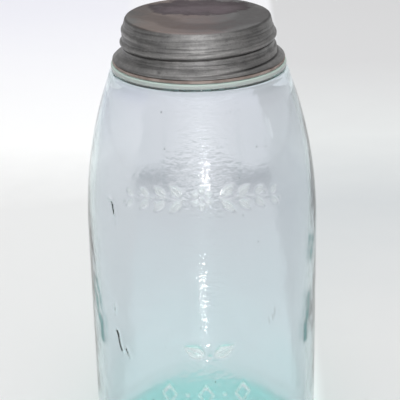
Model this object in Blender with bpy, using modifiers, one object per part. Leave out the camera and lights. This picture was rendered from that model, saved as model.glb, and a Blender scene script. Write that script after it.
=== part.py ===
"""Half gallon glass canning jar with a zinc screw cap, an opal glass liner and a rubber ring.

All four pieces are turned shapes on one upright axis. The glass thread on the neck and the
thread rolled into the cap follow the same right hand helix, so the cap unscrews without
touching the glass. Lengths are in metres, +Z is up, and the origin is the middle of the base.
"""

from math import atan2, ceil, cos, floor, hypot, pi, sin, tau

import bmesh
import bpy

# How finely round shapes are cut
SEGMENTS = 48
ARC_STEPS = 4
ROWS_PER_PITCH = 7

# Glass jar, from the base up
BODY_RADIUS = 0.05715
WALL = 0.0036
BASE_THICKNESS = 0.0090
DOME_RISE = 0.0090
DOME_RADIUS = 0.0380
DOME_BEND_SHARE = 1.6
DOME_STEPS = 6
PUSH_UP = 0.0025
BEARING_WIDTH = 0.0050
HEEL_ROUNDING = 0.0120
STRAIGHT_HEIGHT = 0.1200
SHOULDER_RISE = 0.0850
SHOULDER_BEND_SHARE = 2.3
SHOULDER_STEPS = 9
CREASE_RISE = 0.0023
CREASE_DEPTH = 0.0005
LEDGE_HEIGHT = 0.0029
LEDGE_WIDTH = 0.0072
LEDGE_INSET = 0.0012
LEDGE_ROUNDING = 0.0009
NECK_RADIUS = 0.0345
NECK_WALL = 0.0041
NECK_HEIGHT = 0.0175
LIP_ROUNDING = 0.0008

# Inside of the neck, where the thin shoulder wall eases into the bore
EASE_STEPS = 6
EASE_TOP_SHARE = 0.5
EASE_LOW_HANDLE_SHARE = 0.65
EASE_HIGH_HANDLE_SHARE = 1.2

# Screw thread, shared by the glass and the cap
THREAD_PITCH = 0.00635
THREAD_HEIGHT = 0.0015
THREAD_TURNS = 1.4
THREAD_WIDTH_SHARE = 0.8
THREAD_TAPER_SHARE = 0.12
THREAD_START = 0.0044

# Where the helix crosses the +X side, in turns after the thread's lower end
THREAD_PHASE_SHARE = 0.394

# Clearances
SEAT_GAP = 0.0003
THREAD_FIT = 0.0004
GROOVE_GAP = 0.0008
LINER_GAP = 0.0007
BOSS_GAP = 0.0015
RING_GAP = 0.0005

# Rubber ring
RING_THICKNESS = 0.0013
RING_PROUD = 0.0003
RING_ROUNDING_SHARE = 0.2

# Opal glass liner
LINER_THICKNESS = 0.0030
LINER_ROUNDING = 0.0008
BOSS_DEPTH = 0.0012

# Zinc cap
SHEET = 0.0007
CAP_ROUNDING = 0.0021
CAP_TOP_INSET = 0.0014
CAP_STEP_HEIGHT = 0.0013
CAP_SKIRT_INSET = 0.0009
SKIRT_LIP = 0.0010
FLARE_HEIGHT = 0.0028
FLARE_SWELL_SHARE = 0.04
RIDGE_FADE = 0.0020
RIDGE_FULLNESS_SHARE = 0.6

# Heights above the base that the sizes give
SHOULDER_TOP = STRAIGHT_HEIGHT + SHOULDER_RISE
CREASE_Z = SHOULDER_TOP + CREASE_RISE
LEDGE_TOP = CREASE_Z + LEDGE_HEIGHT
LIP_TOP = LEDGE_TOP + NECK_HEIGHT
THREAD_LOW = LEDGE_TOP + THREAD_START
RING_BASE = LEDGE_TOP + SEAT_GAP
RING_TOP = RING_BASE + RING_THICKNESS
LINER_BASE = LIP_TOP + SEAT_GAP
LINER_TOP = LINER_BASE + LINER_THICKNESS
CAP_EDGE = RING_TOP + SEAT_GAP
CAP_TOP = LINER_TOP + SEAT_GAP + SHEET
CAP_STEP_TOP = CAP_TOP - CAP_ROUNDING
CAP_STEP_FOOT = CAP_STEP_TOP - CAP_STEP_HEIGHT

# Radii that the sizes give
LEDGE_RADIUS = NECK_RADIUS + LEDGE_WIDTH
MOUTH_RADIUS = NECK_RADIUS - NECK_WALL
SHOULDER_DROP = BODY_RADIUS - (LEDGE_RADIUS + LEDGE_INSET)
CAP_WALL_RADIUS = NECK_RADIUS + GROOVE_GAP + SHEET
CAP_RIDGE = THREAD_HEIGHT + THREAD_FIT - GROOVE_GAP
CAP_TOP_RADIUS = CAP_WALL_RADIUS - CAP_TOP_INSET
SKIRT_RADIUS = LEDGE_RADIUS - CAP_SKIRT_INSET
LINER_RADIUS = CAP_TOP_RADIUS - SHEET - LINER_GAP
BOSS_RADIUS = MOUTH_RADIUS - BOSS_GAP

# Vertices of a turned mesh closer than this are one
WELD = 0.00001


def remove_everything():
    """Empty the file's scene."""
    for item in list(bpy.data.objects):
        bpy.data.objects.remove(item)


def new_material(name, color, roughness, metallic=0.0, clear=0.0):
    """One plain finish, with the look of the real material."""
    material = bpy.data.materials.new(name)
    material.use_nodes = True
    shader = material.node_tree.nodes["Principled BSDF"]
    shader.inputs["Base Color"].default_value = (*color, 1.0)
    shader.inputs["Roughness"].default_value = roughness
    shader.inputs["Metallic"].default_value = metallic
    shader.inputs["Transmission Weight"].default_value = clear
    return material


def arc(center, radius, start, end, steps=ARC_STEPS):
    """Points of a round corner in a profile, from one angle in degrees to another."""
    angles = [pi / 180 * (start + (end - start) * step / steps) for step in range(steps + 1)]
    return [(center[0] + radius * cos(angle), center[1] + radius * sin(angle)) for angle in angles]


def eased(start, start_handle, end_handle, end, steps):
    """Points of a cubic curve between two points, both left out."""
    points = []
    for step in range(1, steps):
        t = step / steps
        weights = ((1 - t) ** 3, 3 * (1 - t) ** 2 * t, 3 * (1 - t) * t**2, t**3)
        corners = (start, start_handle, end_handle, end)
        points.append(tuple(sum(w * p[axis] for w, p in zip(weights, corners)) for axis in (0, 1)))
    return points


def smooth(value):
    """A ramp from 0 to 1 with soft ends."""
    value = min(max(value, 0.0), 1.0)
    return value * value * (3 - 2 * value)


def helix_place(angle, height):
    """Turn count of the nearest pass of the helix, and the height above its middle line.

    Turn 0 is the lower end of the glass thread, and height is above the jar's base.
    """
    around = angle / tau + THREAD_PHASE_SHARE
    climbed = (height - THREAD_LOW) / THREAD_PITCH
    turn = around + floor(climbed - around + 0.5)
    return turn, (climbed - turn) * THREAD_PITCH


def glass_thread(angle, height):
    """How far the glass thread stands out of the neck at one place."""
    turn, offset = helix_place(angle, height)
    half_width = THREAD_WIDTH_SHARE * THREAD_PITCH / 2
    if abs(offset) >= half_width:
        return 0.0
    run_in = smooth(turn / THREAD_TAPER_SHARE)
    run_out = smooth((THREAD_TURNS - turn) / THREAD_TAPER_SHARE)
    return THREAD_HEIGHT * run_in * run_out * cos(pi / 2 * offset / half_width) ** 2


def cap_ridge(angle, height):
    """How far the thread rolled into the cap's wall stands out at one place."""
    offset = helix_place(angle, height)[1]
    below_top = CAP_STEP_FOOT - height
    above_edge = height - CAP_EDGE - SKIRT_LIP
    fade = smooth(below_top / RIDGE_FADE) * smooth(above_edge / RIDGE_FADE)
    wave = (0.5 + 0.5 * cos(tau * offset / THREAD_PITCH)) ** RIDGE_FULLNESS_SHARE
    return CAP_RIDGE * fade * wave


def turned(name, profile, height, push=None):
    """A profile of (radius, height) points, turned once about the axis.

    Heights are above the jar's base, and the object's origin is on the axis at the given
    height. The profile runs down its outer side. push moves outer points away from the axis.
    """
    mesh = bpy.data.meshes.new(name)
    edges = [(index, index + 1) for index in range(len(profile) - 1)]
    mesh.from_pydata([(radius, 0.0, level - height) for radius, level in profile], edges, [])
    draft = bpy.data.objects.new(name + "_profile", mesh)
    bpy.context.scene.collection.objects.link(draft)
    screw = draft.modifiers.new("turn", "SCREW")
    screw.steps = SEGMENTS
    screw.render_steps = SEGMENTS
    screw.use_merge_vertices = True
    screw.merge_threshold = WELD
    graph = bpy.context.evaluated_depsgraph_get()
    shape = bpy.data.meshes.new_from_object(draft.evaluated_get(graph))
    bpy.data.objects.remove(draft)
    shape.name = name
    if push:
        for vertex in shape.vertices:
            radius = hypot(vertex.co.x, vertex.co.y)
            angle = atan2(vertex.co.y, vertex.co.x) % tau
            grown = radius + push(radius, angle, vertex.co.z + height)
            if grown > radius:
                vertex.co.x *= grown / radius
                vertex.co.y *= grown / radius
    shape.shade_smooth()
    shape.set_sharp_from_angle(angle=pi / 5)
    piece = bpy.data.objects.new(name, shape)
    piece.location.z = height
    return piece


def closed_loop(piece):
    """Joins the last profile point to the first all the way round, as on a ring."""
    shell = bmesh.new()
    shell.from_mesh(piece.data)
    bmesh.ops.remove_doubles(shell, verts=shell.verts, dist=WELD)
    shell.to_mesh(piece.data)
    shell.free()
    return piece


def dome(radius, rise, foot):
    """Points of a low dome about the axis, from its top out to its foot."""
    shares = [step / DOME_STEPS for step in range(DOME_STEPS + 1)]
    lifts = [rise * cos(pi / 2 * share**DOME_BEND_SHARE) ** 2 for share in shares]
    return [(radius * share, foot + lift) for share, lift in zip(shares, lifts)]


def shoulder_point(share, inset):
    """A point of the shoulder, a share of the way up, and set into the glass by inset."""
    radius = BODY_RADIUS - SHOULDER_DROP * share**SHOULDER_BEND_SHARE
    level = STRAIGHT_HEIGHT + SHOULDER_RISE * share
    steep = SHOULDER_DROP * SHOULDER_BEND_SHARE * share ** (SHOULDER_BEND_SHARE - 1) / SHOULDER_RISE
    return radius - inset / hypot(1, steep), level - inset * steep / hypot(1, steep)


def glass_jar():
    """The jar: domed floor, heel, side, shoulder, ledge, neck with its thread, and lip."""
    inside = BODY_RADIUS - WALL
    inner_heel = HEEL_ROUNDING
    profile = dome(DOME_RADIUS, DOME_RISE, BASE_THICKNESS)
    profile += arc((inside - inner_heel, BASE_THICKNESS + inner_heel), inner_heel, -90, 0)
    steps = range(SHOULDER_STEPS + 1)
    profile += [shoulder_point(step / SHOULDER_STEPS, WALL) for step in steps]

    low = profile[-1]
    along = (low[0] - profile[-2][0], low[1] - profile[-2][1])
    reach = EASE_LOW_HANDLE_SHARE * WALL / hypot(*along)
    low_handle = (low[0] + reach * along[0], low[1] + reach * along[1])
    high = (MOUTH_RADIUS, LEDGE_TOP + EASE_TOP_SHARE * NECK_WALL)
    high_handle = (MOUTH_RADIUS, high[1] - EASE_HIGH_HANDLE_SHARE * NECK_WALL)
    profile += eased(low, low_handle, high_handle, high, EASE_STEPS)
    profile.append(high)

    lip_level = LIP_TOP - LIP_ROUNDING
    profile += arc((MOUTH_RADIUS + LIP_ROUNDING, lip_level), LIP_ROUNDING, 180, 90, 2)
    profile += arc((NECK_RADIUS - LIP_ROUNDING, lip_level), LIP_ROUNDING, 90, 0, 2)

    foot = LEDGE_TOP + LEDGE_ROUNDING
    rows = ceil((lip_level - foot) / THREAD_PITCH * ROWS_PER_PITCH)
    profile += [(NECK_RADIUS, lip_level + (foot - lip_level) * row / rows) for row in range(1, rows)]
    profile += arc((NECK_RADIUS + LEDGE_ROUNDING, foot), LEDGE_ROUNDING, 180, 270, 2)

    rim = LEDGE_RADIUS - LEDGE_ROUNDING
    profile += arc((rim, LEDGE_TOP - LEDGE_ROUNDING), LEDGE_ROUNDING, 90, 0, 3)
    profile += arc((rim, CREASE_Z + LEDGE_ROUNDING), LEDGE_ROUNDING, 0, -45, 1)
    profile.append((LEDGE_RADIUS - CREASE_DEPTH, CREASE_Z))
    profile += [shoulder_point(1 - step / SHOULDER_STEPS, 0.0) for step in steps]

    heel = BODY_RADIUS - HEEL_ROUNDING
    profile += arc((heel, HEEL_ROUNDING), HEEL_ROUNDING, 0, -90)
    profile += reversed(dome(heel - BEARING_WIDTH, PUSH_UP, 0.0))

    def thread(radius, angle, level):
        on_neck = radius > MOUTH_RADIUS + NECK_WALL / 2 and foot < level < lip_level
        return glass_thread(angle, level) if on_neck else 0.0

    return turned("glass_jar", profile, 0.0, thread)


def rubber_ring():
    """The flat sealing ring round the neck, on the ledge."""
    inner = NECK_RADIUS + RING_GAP
    outer = SKIRT_RADIUS + RING_PROUD
    rounding = RING_ROUNDING_SHARE * RING_THICKNESS
    high = RING_TOP - rounding
    low = RING_BASE + rounding
    profile = arc((inner + rounding, high), rounding, 180, 90, 1)
    profile += arc((outer - rounding, high), rounding, 90, 0, 1)
    profile += arc((outer - rounding, low), rounding, 0, -90, 1)
    profile += arc((inner + rounding, low), rounding, -90, -180, 1)
    profile.append(profile[0])
    return closed_loop(turned("rubber_ring", profile, RING_BASE))


def opal_liner():
    """The milk glass disc, with a shallow boss on its underside that centres it in the mouth."""
    rim = LINER_RADIUS - LINER_ROUNDING
    profile = [(0.0, LINER_TOP)]
    profile += arc((rim, LINER_TOP - LINER_ROUNDING), LINER_ROUNDING, 90, 0, 2)
    profile += arc((rim, LINER_BASE + LINER_ROUNDING), LINER_ROUNDING, 0, -90, 2)
    profile.append((BOSS_RADIUS, LINER_BASE))
    boss = BOSS_RADIUS - BOSS_DEPTH
    profile += arc((boss, LINER_BASE), BOSS_DEPTH, 0, -90, 2)[1:]
    profile.append((0.0, LINER_BASE - BOSS_DEPTH))
    return turned("opal_liner", profile, LINER_BASE)


def zinc_cap():
    """The cap: flat top, round corner, step, wall with its rolled thread, and flared skirt."""
    profile = [(0.0, CAP_TOP)]
    profile += arc((CAP_TOP_RADIUS - CAP_ROUNDING, CAP_STEP_TOP), CAP_ROUNDING, 90, 0)
    profile.append((CAP_WALL_RADIUS, CAP_STEP_FOOT))
    flare_low = CAP_EDGE + SKIRT_LIP
    rows = ceil((CAP_STEP_FOOT - flare_low) / THREAD_PITCH * ROWS_PER_PITCH)
    spread = SKIRT_RADIUS - CAP_WALL_RADIUS
    for row in range(1, rows + 1):
        level = CAP_STEP_FOOT + (flare_low - CAP_STEP_FOOT) * row / rows
        drop = min(max((flare_low + FLARE_HEIGHT - level) / FLARE_HEIGHT, 0.0), 1.0)
        swell = FLARE_SWELL_SHARE * sin(pi * drop)
        profile.append((CAP_WALL_RADIUS + spread * (drop + swell), level))
    profile.append((SKIRT_RADIUS, CAP_EDGE))

    cap = turned("zinc_cap", profile, CAP_EDGE, lambda radius, angle, level: cap_ridge(angle, level))
    sheet = cap.modifiers.new("sheet", "SOLIDIFY")
    sheet.thickness = SHEET
    sheet.offset = -1.0
    sheet.use_even_offset = True
    return cap


def main():
    remove_everything()
    group = bpy.data.collections.new("canning_jar")
    bpy.context.scene.collection.children.link(group)
    cap_axis = bpy.data.objects.new("cap_axis", None)
    cap_axis.location.z = LEDGE_TOP
    group.objects.link(cap_axis)

    finishes = {
        "glass_jar": new_material("aqua glass", (0.60, 0.80, 0.80), 0.05, clear=1.0),
        "rubber_ring": new_material("aged red rubber", (0.20, 0.09, 0.07), 0.70),
        "opal_liner": new_material("opal glass", (0.86, 0.88, 0.86), 0.20),
        "zinc_cap": new_material("weathered zinc", (0.22, 0.21, 0.21), 0.50, metallic=1.0),
    }
    for piece in (glass_jar(), rubber_ring(), opal_liner(), zinc_cap()):
        piece.data.materials.append(finishes[piece.name])
        group.objects.link(piece)
        if piece.name in ("opal_liner", "zinc_cap"):
            piece.parent = cap_axis
            piece.location.z -= cap_axis.location.z


main()
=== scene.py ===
# %% [markdown]
# # A half gallon canning jar
# The part is a thick glass jar, closed by a zinc screw cap. Under the cap lie a milk glass
# disc, which keeps the food off the metal, and a flat rubber ring, on which the skirt of the
# cap presses. This lesson dresses the plain CAD solids: each piece is modelled again with
# the detail of the real one, and gets its own finish. The CAD solids stay as they are, and
# every place and size below agrees with theirs.

# %% Load the solids as a fixed frame
from math import cos, hypot, pi, radians, sin, tau

import bmesh
import bpy
import numpy as np
from mathutils import Matrix, Vector


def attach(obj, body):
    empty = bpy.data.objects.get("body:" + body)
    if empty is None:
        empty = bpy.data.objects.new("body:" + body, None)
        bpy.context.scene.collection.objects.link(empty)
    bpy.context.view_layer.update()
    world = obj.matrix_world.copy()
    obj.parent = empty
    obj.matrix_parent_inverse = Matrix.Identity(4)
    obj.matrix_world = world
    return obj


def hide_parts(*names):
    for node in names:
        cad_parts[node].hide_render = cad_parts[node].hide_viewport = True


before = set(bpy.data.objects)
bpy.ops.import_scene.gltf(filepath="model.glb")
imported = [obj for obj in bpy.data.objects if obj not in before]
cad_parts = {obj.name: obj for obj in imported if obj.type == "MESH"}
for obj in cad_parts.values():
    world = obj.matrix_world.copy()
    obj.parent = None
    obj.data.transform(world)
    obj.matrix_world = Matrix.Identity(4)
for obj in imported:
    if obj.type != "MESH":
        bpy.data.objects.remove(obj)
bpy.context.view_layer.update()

scene = bpy.context.scene

# %% [markdown]
# ## Small tools
# Lengths are given in millimetres, as a glass maker would give them, and MM makes them
# Blender's metres at the last moment. Colours are sRGB hex codes, as on a paint card, and
# one function makes them linear. Another adds a node together with what goes into it, so that
# a material or a node tree reads as a short list from top to bottom.

# %% Lengths, colours and nodes
MM = 0.001


def linear(code):
    """A linear colour with alpha, from an sRGB hex code such as 8f9a9c."""
    parts = [int(code[place:place + 2], 16) / 255 for place in (0, 2, 4)]
    return (*(p / 12.92 if p <= 0.04045 else ((p + 0.055) / 1.055) ** 2.4 for p in parts), 1.0)


def add_node(tree, kind, inputs=None, **settings):
    """Adds a node: its settings, and for each input a value, or a socket or node that feeds it.

    A kind without a prefix is a shader node, and a node feeds by its first output in use. A
    Mix node takes numbers in sockets 2 and 3, directions in 4 and 5, and colours in 6 and 7.
    """
    node = tree.nodes.new(kind if "Node" in kind else "ShaderNode" + kind)
    for name, setting in settings.items():
        setattr(node, name, setting)
    for socket, source in (inputs or {}).items():
        if isinstance(source, bpy.types.Node):
            source = next(output for output in source.outputs if output.enabled)
        if isinstance(source, bpy.types.NodeSocket):
            tree.links.new(source, node.inputs[socket])
        else:
            node.inputs[socket].default_value = source
    return node


def new_material(name):
    """An empty material and its node tree."""
    material = bpy.data.materials.new(name)
    material.use_nodes = True
    material.node_tree.nodes.clear()
    return material, material.node_tree


def set_stops(ramp, stops):
    """Gives a colour ramp its stops, each a place from 0 to 1 and a hex code or linear colour."""
    while len(ramp.color_ramp.elements) < len(stops):
        ramp.color_ramp.elements.new(0.5)
    for stop, (place, colour) in zip(ramp.color_ramp.elements, stops):
        stop.position = place
        stop.color = linear(colour) if isinstance(colour, str) else colour


print("linear middle grey", round(linear("808080")[0], 3))

# %% [markdown]
# ## The camera
# The photograph looks down on the jar from close by and a little above the cap, so the jar
# narrows towards its foot. The camera was fitted to widths that are known: the cap, the
# ledge below it, and the glass at its widest. It is rolled by a degree, as a camera held in
# the hand is.

# %% Place the camera
CAMERA_PLACE = (-0.89, -581.61, 379.08)
CAMERA_DOWN = 22.545
CAMERA_ROLL = -1.338
LENS = 113.985

lens = bpy.data.cameras.new("camera")
lens.lens = LENS
lens.sensor_width = 36.0
camera = bpy.data.objects.new("camera", lens)
aim = Matrix.Rotation(radians(90 - CAMERA_DOWN), 4, "X")
roll = Matrix.Rotation(radians(CAMERA_ROLL), 4, "Z")
camera.matrix_world = Matrix.Translation(MM * Vector(CAMERA_PLACE)) @ aim @ roll
scene.collection.objects.link(camera)
scene.camera = camera
print("camera looks down", CAMERA_DOWN, "degrees from", round(hypot(*CAMERA_PLACE)), "mm away")

# %% [markdown]
# ## The floor
# The jar stands on a white table in a pale room. Clear glass has no look of its own: it shows
# what is behind it, so the floor's tones matter here as much as the glass does. Nearest the
# jar the table is a pale warm grey. Straight behind the jar the floor carries painted light and
# shade: a pale aqua glow close to the jar, where light through the glass would fall, then the
# jar's own soft shadow painted in grey, which ends in a soft dark line behind the jar's upper
# half. Beyond that line the cloth is nearly white on the left and a cool grey on the right.
# Those tones are painted on one large matt floor by place, in three strips that melt into
# each other, and a noise bends their borders, as folds in a cloth would.

# %% Paint and lay the floor
FLOOR_HALF = 2400.0
FLOOR_SINK = 0.1
FLOOR_FAR = 940.0

# Tones of each strip, each at its distance behind the jar's axis in mm
TONES_LEFT = ((320, "eaeaea"), (470, "fefefe"), (940, "f3f3fa"))
# The middle strip is painted light and shade: a pale aqua glow close behind the jar, then the jar's soft
# shadow in grey, darkest at 380 mm
PAINTED_GLOW_AND_SHADOW_BEHIND = (
    (100, "fcffff"),
    (180, "eff3f3"),
    (330, "e6e6e7"),
    (380, "c2c4c7"),
    (410, "eff0f1"),
    (940, "f8f8fb"),
)
TONES_RIGHT = ((100, "e5e5e5"), (320, "d5d8da"), (470, "e6e8e8"), (700, "dbdbdc"))

# The left strip melts into the right one between these places
LEFT_ENDS = -50.0
RIGHT_STARTS = 60.0

# The middle strip of painted glow and shadow: its centre, how fast it spreads, its half width and its soft
# edge
BEHIND_JAR = 5.0
SPREAD_BEHIND = 0.03
STRIP_HALF = 63.0
STRIP_FADE = 10.0

# The folds that bend the borders: how wide they are and how far they bend
BORDER_FOLDS = 40.0
BORDER_BEND = 50.0

card, tree = new_material("matt white cloth")
place = add_node(tree, "TexCoord").outputs["Object"]
axes = add_node(tree, "SeparateXYZ", {0: place})
folds = add_node(tree, "TexNoise", {"Vector": place, "Scale": 1 / (BORDER_FOLDS * MM), "Detail": 2.0})
bent = add_node(
    tree, "Math", {0: folds, 1: BORDER_BEND * MM, 2: axes.outputs["Y"]}, operation="MULTIPLY_ADD"
)
depth = add_node(
    tree, "MapRange",
    {"Value": bent, "From Min": BORDER_BEND / 2 * MM, "From Max": (BORDER_BEND / 2 + FLOOR_FAR) * MM},
)
strips = []
for tones in (TONES_LEFT, PAINTED_GLOW_AND_SHADOW_BEHIND, TONES_RIGHT):
    ramp = add_node(tree, "ValToRGB", {"Fac": depth})
    set_stops(ramp, [(distance / FLOOR_FAR, tone) for distance, tone in tones])
    strips.append(ramp)
rightwards = add_node(
    tree, "MapRange",
    {"Value": axes.outputs["X"], "From Min": LEFT_ENDS * MM, "From Max": RIGHT_STARTS * MM},
    interpolation_type="SMOOTHSTEP",
)
sides = add_node(tree, "Mix", {"Factor": rightwards, 6: strips[0], 7: strips[2]}, data_type="RGBA")
apart = add_node(tree, "Math", {0: axes.outputs["X"], 1: BEHIND_JAR * MM}, operation="SUBTRACT")
apart = add_node(tree, "Math", {0: apart}, operation="ABSOLUTE")
apart = add_node(
    tree, "Math", {0: axes.outputs["Y"], 1: -SPREAD_BEHIND, 2: apart}, operation="MULTIPLY_ADD"
)
# How far each place lies inside the middle strip of painted glow and shadow
painted_strip_mask = add_node(
    tree, "MapRange",
    {"Value": apart, "From Min": STRIP_HALF * MM, "From Max": (STRIP_HALF - STRIP_FADE) * MM},
    interpolation_type="SMOOTHSTEP",
)
tone = add_node(tree, "Mix", {"Factor": painted_strip_mask, 6: sides, 7: strips[1]}, data_type="RGBA")
matt = add_node(tree, "BsdfDiffuse", {"Color": tone})
add_node(tree, "OutputMaterial", {"Surface": matt})

signs = ((-1, -1), (1, -1), (1, 1), (-1, 1))
corners = [(x * FLOOR_HALF * MM, y * FLOOR_HALF * MM, -FLOOR_SINK * MM) for x, y in signs]
mesh = bpy.data.meshes.new("floor")
mesh.from_pydata(corners, [], [(0, 1, 2, 3)])
mesh.materials.append(card)
floor = bpy.data.objects.new("floor", mesh)
scene.collection.objects.link(floor)
print("floor", 2 * FLOOR_HALF * MM, "m wide, in", len(strips), "strips")

# %% [markdown]
# ## The light
# The even light is the room itself, brightest in front of the jar and dim at its sides, so
# that the metal of the cap shines in the middle and falls off to both sides. The camera, and
# rays that have passed through the glass, see plain white instead, as round the table in the
# photograph. A broad soft box overhead gives the soft shadow. A tall narrow window a little to
# the right of the camera puts a soft glow on the shoulder, and its bright low pane puts the
# bright spot in that glow. A small lamp that lies on the table puts the dotted upright streak
# below it, one dot for each ripple of the glass, and a window far to the right puts the faint
# streak at that side. Lamps take watts, and one function works these out from how bright the
# lamp is to look.

# %% Light the jar
# How far a direction points behind the jar, from -1 in front to 1, and how bright it is there
ROOM_LIGHT = (
    (-1.0, 3.80), (-0.93, 2.20), (-0.8, 1.20), (-0.5, 0.66), (0.0, 0.36), (0.5, 0.50), (1.0, 0.65),
)
ROOM_LEVEL = 4.0


def soft_box(name, size, place, target, brightness):
    """A rectangular lamp that looks as bright as the given value, where 1 is white."""
    lamp = bpy.data.lights.new(name, "AREA")
    lamp.shape = "RECTANGLE"
    lamp.size, lamp.size_y = (MM * side for side in size)
    lamp.energy = brightness * pi * lamp.size * lamp.size_y
    holder = bpy.data.objects.new(name, lamp)
    holder.location = MM * Vector(place)
    holder.rotation_euler = (Vector(target) - Vector(place)).to_track_quat("-Z", "Y").to_euler()
    holder.visible_camera = False
    scene.collection.objects.link(holder)
    return holder


world = bpy.data.worlds.new("pale room")
world.use_nodes = True
scene.world = world
sky = world.node_tree
sky.nodes.clear()
way = add_node(sky, "TexCoord").outputs["Generated"]
axes = add_node(sky, "SeparateXYZ", {0: way})
backwards = add_node(sky, "MapRange", {"Value": axes.outputs["Y"], "From Min": -1.0, "From Max": 1.0})
room = add_node(sky, "ValToRGB", {"Fac": backwards})
set_stops(room, [((side + 1) / 2, (*[level / ROOM_LEVEL] * 3, 1.0)) for side, level in ROOM_LIGHT])
lit = add_node(sky, "Background", {"Color": room, "Strength": ROOM_LEVEL})
white = add_node(sky, "Background", {"Color": linear("fbfbfd"), "Strength": 1.0})
path = add_node(sky, "LightPath")
seen = add_node(
    sky, "Math",
    {0: path.outputs["Is Camera Ray"], 1: path.outputs["Is Transmission Ray"]},
    operation="MAXIMUM",
)
blend = add_node(sky, "MixShader", {0: seen, 1: lit, 2: white})
add_node(sky, "OutputWorld", {"Surface": blend})

soft_box("overhead", (1600, 2000), (0, 350, 1500), (0, 350, 0), 1.3)
soft_box("tall_window", (30, 170), (85, -1250, 340), (0, 0, 170), 3.5)
soft_box("window_foot", (150, 24), (72, -1250, 171), (0, 0, 167), 80.0)
soft_box("lamp_on_table", (5, 74), (-1.5, -272, 1), (-1.5, -272, 100), 62.0)
soft_box("side_window", (60, 110), (1230, -195, 285), (0, 0, 190), 1.7)

# %% [markdown]
# ## Turned shapes
# Glass blown in a round mould, a pressed disc and a moulded ring all start as an outline
# turned about one axis. Blender's Screw modifier could turn them, but here the surface also
# has to wander a little from the true round, as hand worked glass does, so the points are
# computed. An outline is a list of radius and height. It runs so that the outside of the
# material lies on its left, which makes all faces point outwards.

# %% Outlines
def arc(center, radius, start, end, steps):
    """Points of a round corner, from one angle in degrees to another."""
    angles = [radians(start + (end - start) * step / steps) for step in range(steps + 1)]
    return [(center[0] + radius * cos(angle), center[1] + radius * sin(angle)) for angle in angles]


def spaced(outline, gap_at):
    """The same outline with its points a given gap apart, where the gap may change by place."""
    outline = np.array(outline)
    lengths = np.hypot(*np.diff(outline, axis=0).T)
    outline = outline[np.append(True, lengths > 1e-6)]
    along = np.append(0, np.cumsum(lengths[lengths > 1e-6]))
    stops = [0.0]
    while stops[-1] < along[-1]:
        radius, height = (np.interp(stops[-1], along, outline[:, axis]) for axis in (0, 1))
        stops.append(stops[-1] + gap_at(radius, height))
    stops = np.array(stops) * along[-1] / stops[-1]
    return np.array([np.interp(stops, along, outline[:, axis]) for axis in (0, 1)]).T


def outward(outline):
    """For each point of an outline, the direction out of the material."""
    way = np.gradient(outline, axis=0)
    way /= np.hypot(*way.T)[:, None]
    return np.array([-way[:, 1], way[:, 0]]).T


def smooth(value):
    """A ramp from 0 to 1 with soft ends."""
    value = np.clip(value, 0.0, 1.0)
    return value * value * (3 - 2 * value)


def turned_mesh(name, radii, heights, angles, closed=False):
    """A mesh from rows of radii and heights in mm, one column of points for each angle.

    The first and last rows lie on the axis, or the outline is closed into a ring.
    """
    rows, columns = radii.shape
    points = np.stack([radii * np.cos(angles), radii * np.sin(angles), heights], axis=-1) * MM
    index = np.arange(rows * columns).reshape(rows, columns)
    right = np.roll(index, -1, axis=1)
    below = np.roll(index, -1, axis=0)
    corner = np.roll(right, -1, axis=0)
    last = rows if closed else rows - 1
    faces = np.stack([index, below, corner, right], axis=-1)[:last].reshape(-1, 4)
    mesh = bpy.data.meshes.new(name)
    mesh.from_pydata(points.reshape(-1, 3), [], faces.tolist())
    shell = bmesh.new()
    shell.from_mesh(mesh)
    bmesh.ops.remove_doubles(shell, verts=shell.verts, dist=0.002 * MM)
    if shell.calc_volume(signed=True) < 0:
        bmesh.ops.reverse_faces(shell, faces=shell.faces)
    shell.to_mesh(mesh)
    shell.free()
    mesh.shade_smooth()
    return mesh


def columns_of(outline, count):
    """The radii and the heights of an outline, each repeated for a number of columns."""
    return (np.repeat(np.array(outline)[:, axis:axis + 1], count, axis=1) for axis in (0, 1))


def add_piece(name, mesh, material):
    """A finished piece at the origin, with one material."""
    mesh.materials.clear()
    mesh.materials.append(material)
    piece = bpy.data.objects.new(name, mesh)
    scene.collection.objects.link(piece)
    triangles = sum(len(face.vertices) - 2 for face in mesh.polygons)
    print(name, triangles, "triangles")
    return piece


print("a quarter round has", len(arc((0, 0), 1, 0, 90, 4)), "points")

# %% [markdown]
# ## The outline of the jar
# From the middle of the floor the outline runs up the inside, over the lip, down the screw
# neck, round the ledge that carries the rubber ring, down the shoulder and the side, and back
# to the middle under the base. The wall is 3.6 mm thick, which is real for a jar of this
# kind, and matters: the tint and the dark lines at its sides come from light that runs along
# inside the wall. The floor rises to a thick dome in the middle, which shows through the side
# as a darker aqua ellipse. Inside, the wall turns into the floor in a tight round corner, and
# a smooth curve joins the shoulder to the neck.

# %% Sizes of the glass
BODY_RADIUS = 57.15
WALL = 3.6
FLOOR_THICKNESS = 9.0
DOME_RISE = 9.0
DOME_RADIUS = 38.0
DOME_BEND = 1.6
PUSH_UP = 2.5
BEARING_WIDTH = 5.0
HEEL_ROUNDING = 12.0
INNER_HEEL_ROUNDING = 5.0
STRAIGHT_HEIGHT = 120.0
SHOULDER_RISE = 85.0
SHOULDER_BEND = 2.3
SHOULDER_TOP_RADIUS = 42.9
LEDGE_RADIUS = 41.7
LEDGE_TOP = 210.2
LEDGE_ROUNDING = 0.9
CREASE_Z = 207.3
CREASE_DEPTH = 0.36
NECK_RADIUS = 34.5
MOUTH_RADIUS = 30.4
LIP_TOP = 227.7
LIP_ROUNDING = 0.8

# The curve inside the neck: how far above the ledge it ends, and how far it runs on straight
NECK_FOOT = 2.05
LOW_HANDLE = 2.34
HIGH_HANDLE = 4.92


def dome(radius, rise, foot):
    """Points of a low dome about the axis, from its top out to its foot."""
    shares = [step / 30 for step in range(31)]
    return [(radius * share, foot + rise * cos(pi / 2 * share**DOME_BEND) ** 2) for share in shares]


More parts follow.
